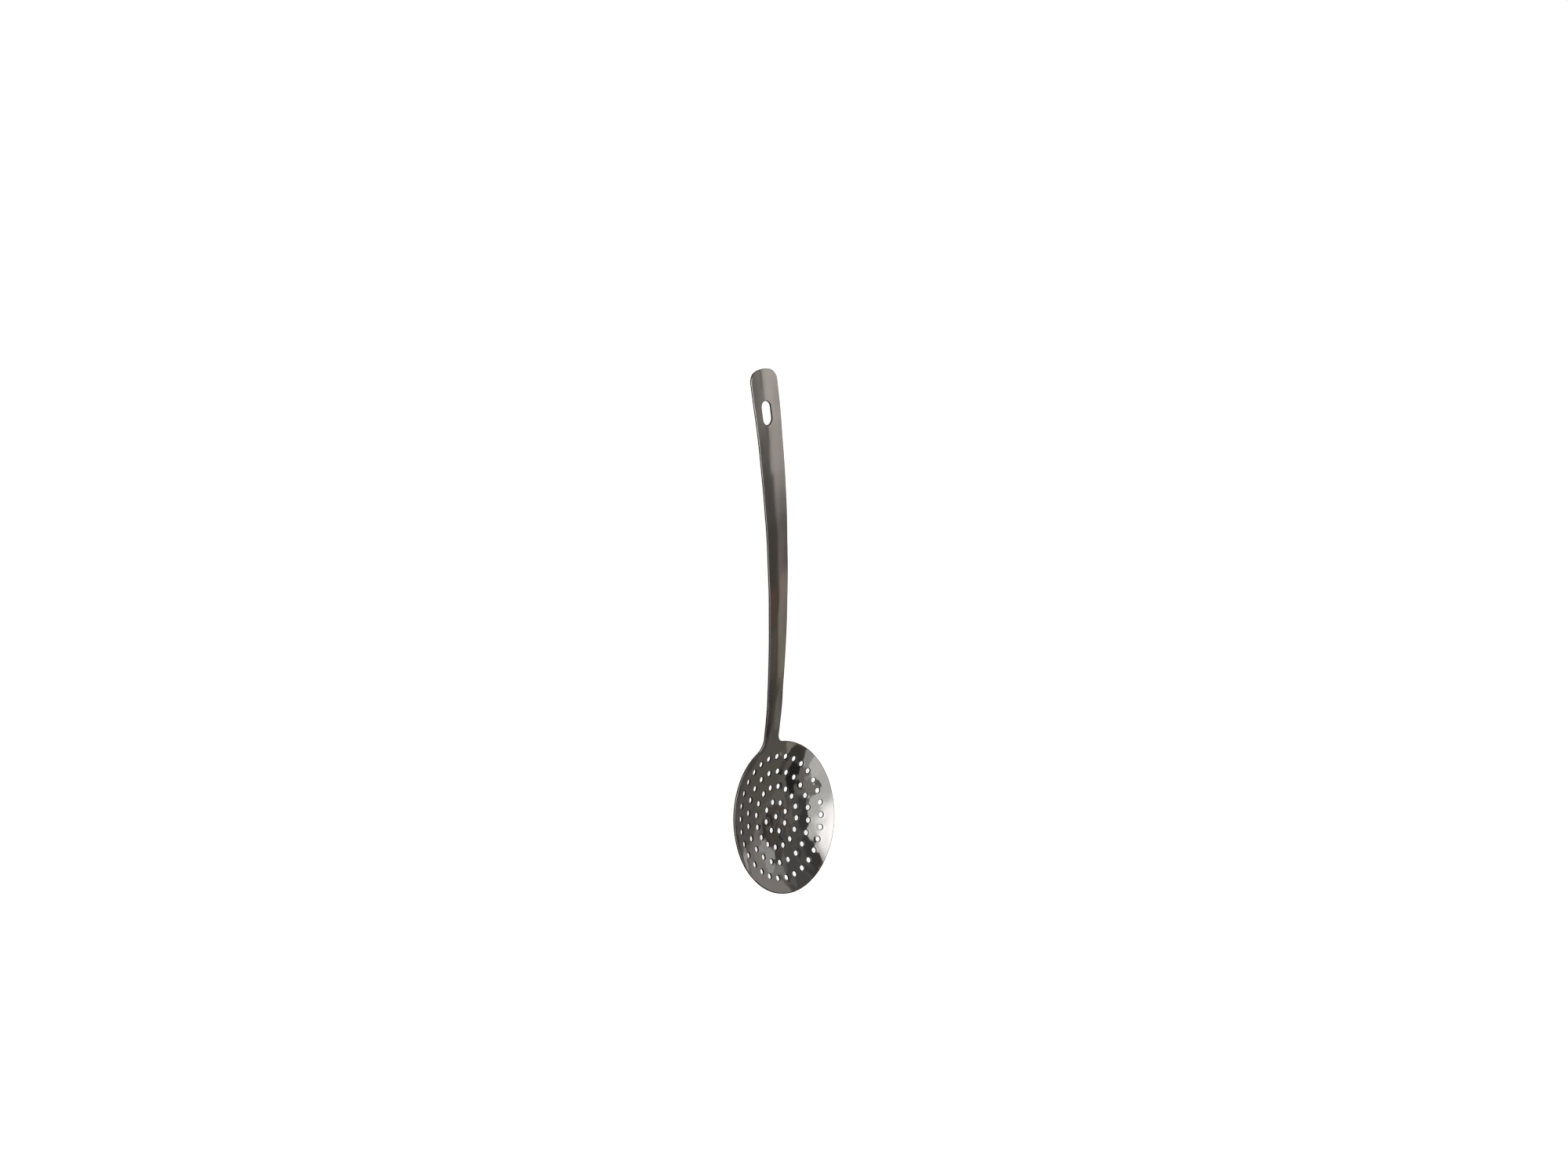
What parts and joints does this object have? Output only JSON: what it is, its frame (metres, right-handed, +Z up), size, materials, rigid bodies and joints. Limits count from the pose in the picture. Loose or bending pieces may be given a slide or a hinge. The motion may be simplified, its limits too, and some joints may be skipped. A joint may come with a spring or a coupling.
{
  "type": "perforated skimmer spoon",
  "caption": "Kitchen skimmer: a round, shallow, perforated steel bowl with a filleted neck and a long bowed handle whose rounded end has a hanging slot.",
  "frame": {"origin": "on the table, under the middle of the skimmer's bounding box as it lies at rest, concave side up", "axes": "+X from the handle's end towards the bowl, +Y across the skimmer, +Z up"},
  "size_m": [0.3456, 0.1002, 0.0272],
  "materials": {
    "bowl_steel": "mirror polished stainless steel",
    "handle_steel": "satin polished stainless steel"
  },
  "bodies": {
    "root": {"bowl": "bowl_steel", "handle": "handle_steel"}
  },
  "joints": []
}
